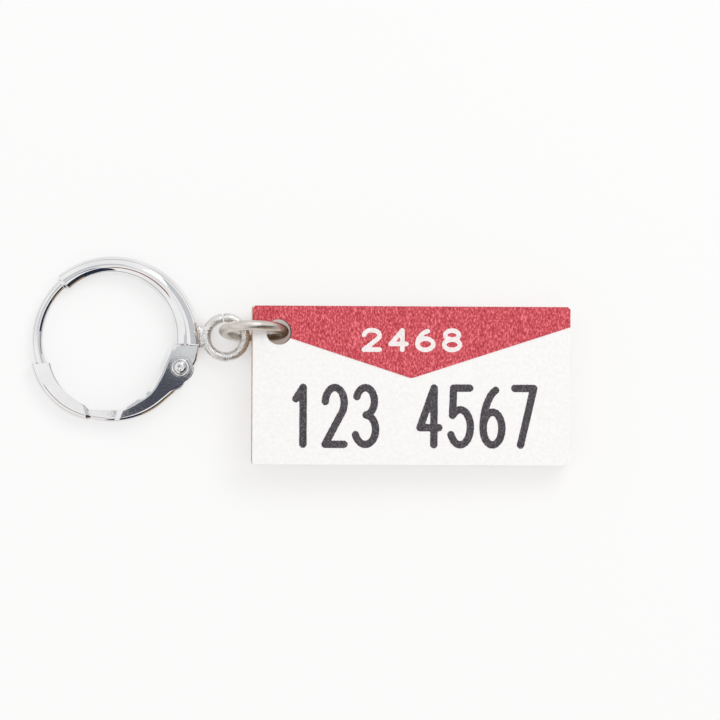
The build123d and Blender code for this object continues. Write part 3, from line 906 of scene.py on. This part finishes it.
# Cards that stand round the hoop: bearings, then the angles that they stand between, distance in mm,
# how many side by side, and colour. The dark one lines the inner shoulders and the lever's bend, the
# brown and gold ones are warm lines there, and the horizon sets pale metal off from the floor.
standing_cards = {
    "dark_side": (-100.0, 12.0, 16.0, 64.0, 300.0, 12, "2C3244"),
    "grey_side": (-8.0, 60.0, 30.0, 72.0, 100.0, 12, "CDCFD2"),
    "brown_line": (205.0, 256.0, 55.0, 67.0, 100.0, 12, "9A7466"),
    "brown_foot": (-72.0, -36.0, 9.0, 13.5, 100.0, 12, "7E604C"),
    "gold_side": (-72.0, -36.0, 13.5, 31.0, 100.0, 12, "C8A878"),
    "horizon": (0.0, 360.0, 0.0, 9.0, 300.0, 24, "B4A9A4"),
}


def card(name, corners_mm, colour):
    """A flat glowing card, given by its corners, that only reflections see."""
    mesh = bpy.data.meshes.new(name)
    mesh.from_pydata((np.array(corners_mm, float) * mm).tolist(), [], [list(range(len(corners_mm)))])
    thing = bpy.data.objects.new(name, mesh)
    bpy.context.scene.collection.objects.link(thing)
    material = bpy.data.materials.new(name)
    material.use_nodes = True
    tree = material.node_tree
    tree.nodes.clear()
    glow = add(tree, "Emission", Color=linear(colour), Strength=1.0)
    add(tree, "OutputMaterial", {"Surface": glow.outputs["Emission"]})
    thing.data.materials.append(material)
    thing.visible_camera = thing.visible_diffuse = thing.visible_shadow = False
    thing.visible_transmission = False


def make_cards():
    """The cards overhead, then those round the hoop, whose foot and top are their distance times the
    tangents of their angles."""
    for name, (high, corners, colour) in overhead_cards.items():
        card(name, [(x, y, high) for x, y in corners], colour)
    for name, (from_deg, to_deg, low_deg, high_deg, away, count, colour) in standing_cards.items():
        low, high = away * tan(radians(low_deg)), away * tan(radians(high_deg))
        spots = hoop_middle + polar(away, np.linspace(from_deg, to_deg, count + 1))
        for step, (a, b) in enumerate(zip(spots[:-1], spots[1:])):
            card(name + "_" + str(step), ((*a, low), (*b, low), (*b, high), (*a, high)), colour)


def seen_rays(tree):
    """One for a ray of the camera, of a mirror or of something clear, and zero for any other."""
    paths = add(tree, "LightPath").outputs
    by_way_of = add(tree, "Math", {0: paths["Is Glossy Ray"], 1: paths["Is Transmission Ray"]},
                    operation="MAXIMUM")
    return add(tree, "Math", {0: paths["Is Camera Ray"], 1: by_way_of.outputs[0]},
               operation="MAXIMUM").outputs[0]


def make_floor():
    """The near-white card that the marker lies on."""
    bpy.ops.mesh.primitive_plane_add(size=floor_size, location=(0, 0, 0))
    floor = bpy.context.object
    floor.name = "white_floor"
    material, tree, shader, _ = new_material("white_card_floor")
    shader.inputs["Base Color"].default_value = (floor_grey, floor_grey, floor_grey, 1.0)
    shader.inputs["Roughness"].default_value = floor_rough
    shader.inputs["Specular IOR Level"].default_value = 0.0
    shader.inputs["Emission Strength"].default_value = floor_glow
    # Painted shade: where something stands close over the floor, its glow turns darker and tan, standing in
    # for shade and for light bounced off the wood.
    painted_shade_openness = add(tree, "AmbientOcclusion", Distance=painted_shade_reach, samples=painted_shade_samples).outputs["AO"]
    tree.links.new(ramp(tree, painted_shade_openness, painted_shade_stops), shader.inputs["Emission Color"])
    plain = add(tree, "BsdfDiffuse", Color=(floor_white, floor_white, floor_white, 1.0))
    mix = add(tree, "MixShader", {0: seen_rays(tree), 1: plain.outputs[0], 2: shader.outputs[0]})
    tree.links.new(mix.outputs[0], tree.nodes["Material Output"].inputs["Surface"])
    floor.data.materials.append(material)


def make_light():
    """A bright even room, white where it is seen, and one soft lamp from the upper right."""
    world = bpy.data.worlds.new("bright_room")
    bpy.context.scene.world = world
    world.use_nodes = True
    tree = world.node_tree
    tree.nodes.clear()
    room = add(tree, "Background", Color=linear("FFFEFD"), Strength=room_level)
    seen = add(tree, "Background", Color=linear("FEFEFE"), Strength=1.0)
    mix = add(tree, "MixShader", {0: seen_rays(tree), 1: room.outputs[0], 2: seen.outputs[0]})
    add(tree, "OutputWorld", {"Surface": mix.outputs[0]})
    lamp = bpy.data.lights.new("soft_window", "AREA")
    lamp.shape = "RECTANGLE"
    lamp.size, lamp.size_y = lamp_size
    lamp.energy = lamp_watts
    window = bpy.data.objects.new("soft_window", lamp)
    window.location = lamp_place
    aim = Vector((0, 0, 0)) - window.location
    window.rotation_euler = aim.to_track_quat("-Z", "Y").to_euler()
    bpy.context.scene.collection.objects.link(window)


def make_camera():
    """Straight above, with the photograph's field and its slight roll."""
    camera = bpy.data.cameras.new("camera")
    camera.sensor_width = sensor_mm
    camera.lens = sensor_mm * camera_mm / field_mm
    camera.clip_start, camera.clip_end = clip_near, clip_far
    eye = bpy.data.objects.new("camera", camera)
    eye.location = (camera_x_mm * mm, camera_y_mm * mm, camera_mm * mm)
    eye.rotation_euler = (0, 0, radians(camera_roll_deg))
    bpy.context.scene.collection.objects.link(eye)
    bpy.context.scene.camera = eye


make_arc()
make_wire()
make_rivet()
make_loop()
make_ring()
make_lever()
make_plate()
make_print()
make_floor()
make_cards()
make_light()
make_camera()
bpy.context.scene.view_settings.view_transform = "Standard"
